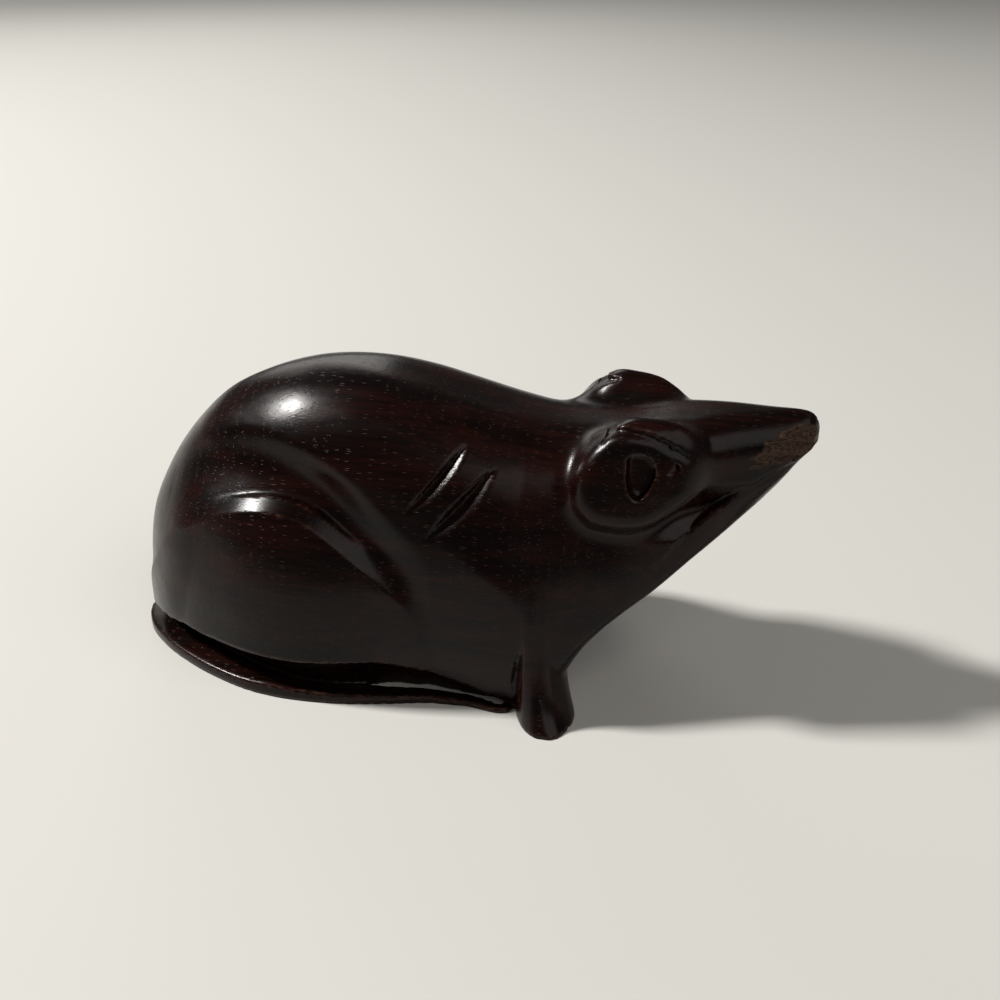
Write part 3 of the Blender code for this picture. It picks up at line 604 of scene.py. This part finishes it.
def contour(field, low, high, pitch):
    """Surface of a field: one vertex in each cell that it passes through, set on the creases."""
    axes = [np.arange(a, b + pitch, pitch) for a, b in zip(low, high)]
    value = settle(sample(field, axes), -pitch / 50)
    points, rings, strides = crossings(value, axes, pitch)
    normals = np.repeat(gradient(field, points, pitch / 20), 4, axis=0)
    cells, owner = np.unique(rings, return_inverse=True)
    owner = owner.ravel()
    points = np.repeat(points, 4, axis=0)
    count = len(cells)
    share = 1 / np.bincount(owner)
    centre = np.column_stack([np.bincount(owner, points[:, k]) * share for k in range(3)])
    offset = (normals * (points - centre[owner])).sum(axis=1)
    matrix = np.tile(CREASE_DAMPING * np.eye(3), (count, 1, 1))
    right = np.empty((count, 3, 1))
    for i in range(3):
        right[:, i, 0] = np.bincount(owner, normals[:, i] * offset)
        for j in range(3):
            matrix[:, i, j] += np.bincount(owner, normals[:, i] * normals[:, j])
    vertices = centre + np.linalg.solve(matrix, right)[:, :, 0]
    corner = np.column_stack([cells // strides[0], cells % strides[0] // strides[1],
                              cells % strides[1]])
    corner = np.array([axis[0] for axis in axes]) + pitch * corner
    return np.clip(vertices, corner, corner + pitch), owner.reshape(-1, 4)


def direction(azimuth, elevation):
    """Unit vector away from the object; azimuth 0 is in front of it, on the side of negative Y."""
    a, e = math.radians(azimuth), math.radians(elevation)
    return Vector((math.sin(a) * math.cos(e), -math.cos(a) * math.cos(e), math.sin(e)))


def aim(thing, target, azimuth, elevation, distance):
    away = direction(azimuth, elevation)
    thing.location = Vector(target) + distance * away
    thing.rotation_euler = away.to_track_quat("Z", "Y").to_euler()


def add_camera():
    data = bpy.data.cameras.new("photo_camera")
    data.lens = CAMERA_LENS
    data.sensor_width = SENSOR_WIDTH
    data.clip_start = NEAREST_SEEN
    camera = bpy.data.objects.new("photo_camera", data)
    bpy.context.scene.collection.objects.link(camera)
    aim(camera, CAMERA_TARGET, CAMERA_AZIMUTH, CAMERA_ELEVATION, CAMERA_DISTANCE)
    bpy.context.scene.camera = camera


def add_lights():
    for name, azimuth, elevation, distance, width, height, power, colour in LIGHTS:
        data = bpy.data.lights.new(name, "AREA")
        data.shape = "RECTANGLE"
        data.size = width
        data.size_y = height
        data.energy = power
        data.color = colour
        light = bpy.data.objects.new(name, data)
        bpy.context.scene.collection.objects.link(light)
        aim(light, CAMERA_TARGET, azimuth, elevation, distance)
    world = bpy.data.worlds.new("room")
    world.use_nodes = True
    world.node_tree.nodes["Background"].inputs["Color"].default_value = WORLD_COLOUR
    world.node_tree.nodes["Background"].inputs["Strength"].default_value = WORLD_STRENGTH
    bpy.context.scene.world = world
    bpy.context.scene.view_settings.view_transform = "Standard"


class Nodes:
    """Short calls for building a material's node tree."""

    def __init__(self, name):
        self.material = bpy.data.materials.new(name)
        self.material.use_nodes = True
        self.tree = self.material.node_tree
        self.shader = self.tree.nodes["Principled BSDF"]

    def put(self, socket, value):
        if isinstance(value, bpy.types.NodeSocket):
            self.tree.links.new(value, socket)
        else:
            socket.default_value = value

    def add(self, kind, output=0, settings=None, **inputs):
        node = self.tree.nodes.new(kind)
        for name, value in (settings or {}).items():
            setattr(node, name, value)
        for name, value in inputs.items():
            self.put(node.inputs[name.replace("_", " ")], value)
        return node.outputs[output]

    def math(self, operation, a, b, clamp=False):
        node = self.tree.nodes.new("ShaderNodeMath")
        node.operation = operation
        node.use_clamp = clamp
        self.put(node.inputs[0], a)
        self.put(node.inputs[1], b)
        return node.outputs[0]

    def stretched(self, scale):
        """Place on the object in cells of 1 / scale millimetres along each axis."""
        place = self.add("ShaderNodeTexCoord", "Object")
        return self.add("ShaderNodeMapping", Vector=place, Scale=[MILLIMETRES * s for s in scale])

    def noise(self, scale, detail, rough):
        return self.add("ShaderNodeTexNoise", "Fac", Vector=self.stretched(scale), Scale=1.0,
                        Detail=detail, Roughness=rough)

    def ramp(self, value, low, high, start=0.0, end=1.0):
        return self.add("ShaderNodeMapRange", 0, {"interpolation_type": "SMOOTHSTEP"}, Value=value,
                        **{"From Min": low, "From Max": high, "To Min": start, "To Max": end})

    def mix(self, share, a, b):
        node = self.tree.nodes.new("ShaderNodeMix")
        node.data_type = "RGBA"
        self.put(node.inputs["Factor"], share)
        self.put(node.inputs[6], a)
        self.put(node.inputs[7], b)
        return node.outputs[2]

    def attribute(self, name):
        return self.add("ShaderNodeAttribute", "Fac", {"attribute_name": name})


def figure(n):
    """Colour of the grain, in broad bands with fine streaks."""
    bands = n.math("MULTIPLY", n.noise(*BANDS), BAND_SHARE)
    streaks = n.math("MULTIPLY", n.noise(*STREAKS), 1 - BAND_SHARE)
    return n.mix(n.ramp(n.math("ADD", bands, streaks), *FIGURE_RANGE), DEEP_BROWN, WARM_BROWN)


def open_pores(n):
    """Where an open pore is, from 0 to 1: short dashes along the grain."""
    cells = n.tree.nodes.new("ShaderNodeTexVoronoi")
    cells.feature = "F1"
    cells.inputs["Scale"].default_value = 1.0
    n.put(cells.inputs["Vector"], n.stretched(PORE_CELLS))
    near = n.ramp(cells.outputs["Distance"], *PORE_EDGE, 1.0, 0.0)
    chosen = n.ramp(n.add("ShaderNodeSeparateColor", 0, Color=cells.outputs["Color"]), *PORE_CHOICE)
    return n.math("MULTIPLY", near, chosen)


def wood_colour(n, pores, fibres, broken):
    colour = n.mix(n.math("MULTIPLY", pores, PORE_STRENGTH), figure(n), PORE_BROWN)
    # Lighter colour on convex ridges, in random patches: rubbed wood and a painted highlight
    worn_and_highlit = n.math("MULTIPLY", n.attribute("wear_and_edge_highlight"), n.ramp(n.noise(*PATCHES), *PATCH_RANGE))
    colour = n.mix(worn_and_highlit, colour, WORN_AND_HIGHLIT_BROWN)
    raw = n.mix(n.ramp(fibres, *FIBRE_RANGE), WARM_BROWN, BROKEN_BROWN)
    return n.mix(broken, colour, raw)


def wood_roughness(n, pores, broken):
    rough = n.ramp(n.noise(*HAZE), *HAZE_RANGE, *WAX_ROUGHNESS)
    rough = n.math("ADD", rough, n.math("MULTIPLY", pores, PORE_ROUGHNESS))
    return n.math("ADD", rough, n.math("MULTIPLY", broken, BROKEN_ROUGHNESS), clamp=True)


def wood_relief(n, pores, fibres, broken):
    """Normal that shows grain, pores, the waves of old tool cuts, and fibres where the wood broke."""
    grain = n.math("MULTIPLY", n.noise(*FINE_GRAIN), GRAIN_HEIGHT)
    height = n.math("SUBTRACT", grain, n.math("MULTIPLY", pores, PORE_DEPTH))
    height = n.math("ADD", height, n.math("MULTIPLY", n.noise(*TOOL_CUTS), CUT_HEIGHT))
    torn = n.math("MULTIPLY", fibres, broken)
    height = n.math("ADD", height, n.math("MULTIPLY", torn, FIBRE_HEIGHT))
    return n.add("ShaderNodeBump", "Normal", Height=height, Strength=RELIEF_STRENGTH,
                 Distance=1.0 / MILLIMETRES)


def wood_material():
    n = Nodes("waxed_dark_hardwood")
    pores, fibres, broken = open_pores(n), n.noise(*FIBRES), n.attribute("broken")
    n.put(n.shader.inputs["Base Color"], wood_colour(n, pores, fibres, broken))
    n.put(n.shader.inputs["Roughness"], wood_roughness(n, pores, broken))
    n.put(n.shader.inputs["Normal"], wood_relief(n, pores, fibres, broken))
    n.shader.inputs["Specular IOR Level"].default_value = SPECULAR
    n.shader.inputs["Coat Weight"].default_value = COAT
    n.shader.inputs["Coat Roughness"].default_value = COAT_ROUGHNESS
    return n.material


def table_material():
    n = Nodes("pale_table")
    place = n.add("ShaderNodeTexCoord", "Object")
    lit = n.ramp(n.add("ShaderNodeSeparateXYZ", 1, Vector=place), *SHADE_EDGE)
    n.put(n.shader.inputs["Base Color"], n.mix(lit, SHADE_COLOUR, TABLE_COLOUR))
    n.shader.inputs["Roughness"].default_value = TABLE_ROUGHNESS
    return n.material


def carve():
    """The carving's mesh at a fine pitch, with rubbed ridges lit by a painted highlight and broken wood on
    its nose.
    """
    low, high = np.array(REACH[0]) - MARGIN, np.array(REACH[1]) + MARGIN
    vertices, faces = contour(mouse, low, high, FINE_PITCH)
    mesh = bpy.data.meshes.new("carving")
    mesh.from_pydata((vertices * UNIT).tolist(), [], faces.tolist())
    mesh.update()
    mesh.shade_smooth()
    broken = (np.abs(nose_chip(*vertices.T)) < BROKEN_REACH) & (vertices[:, 0] > BROKEN_START)
    add_values(mesh, "broken", broken.astype(float))
    # Ridge mask: rubbed wood and a painted highlight along convex edges
    add_values(mesh, "wear_and_edge_highlight", ridges(vertices, faces))
    carving = bpy.data.objects.new("carving", mesh)
    bpy.context.scene.collection.objects.link(carving)
    carving.data.materials.append(wood_material())
    return carving


def add_values(mesh, name, values):
    mesh.attributes.new(name, "FLOAT", "POINT").data.foreach_set("value", values)


def ridges(vertices, faces):
    """How strongly the surface turns outwards at each vertex, from 0 to 1."""
    a, b, c, d = (vertices[faces[:, k]] for k in range(4))
    normal = np.cross(c - a, d - b)
    total = np.zeros_like(vertices)
    for k in range(4):
        np.add.at(total, faces[:, k], normal)
    total /= np.linalg.norm(total, axis=1, keepdims=True) + TINY
    turn = np.zeros(len(vertices))
    count = np.zeros(len(vertices))
    for k in range(4):
        one, other = faces[:, k], faces[:, (k + 1) % 4]
        step = vertices[other] - vertices[one]
        length = np.linalg.norm(step, axis=1) + TINY
        bend = ((total[other] - total[one]) * step).sum(axis=1) / length ** 2
        np.add.at(turn, one, bend)
        np.add.at(turn, other, bend)
        np.add.at(count, one, 1)
        np.add.at(count, other, 1)
    return rise(turn / count, *WEAR_AND_HIGHLIGHT_RANGE)


def add_table():
    form = bmesh.new()
    bmesh.ops.create_grid(form, x_segments=1, y_segments=1, size=TABLE_REACH)
    mesh = bpy.data.meshes.new("table")
    form.to_mesh(mesh)
    form.free()
    table = bpy.data.objects.new("table", mesh)
    bpy.context.scene.collection.objects.link(table)
    mesh.materials.append(table_material())


add_camera()
add_lights()
add_table()
carving = carve()
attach(carving, "root")
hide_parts("carved_mouse")
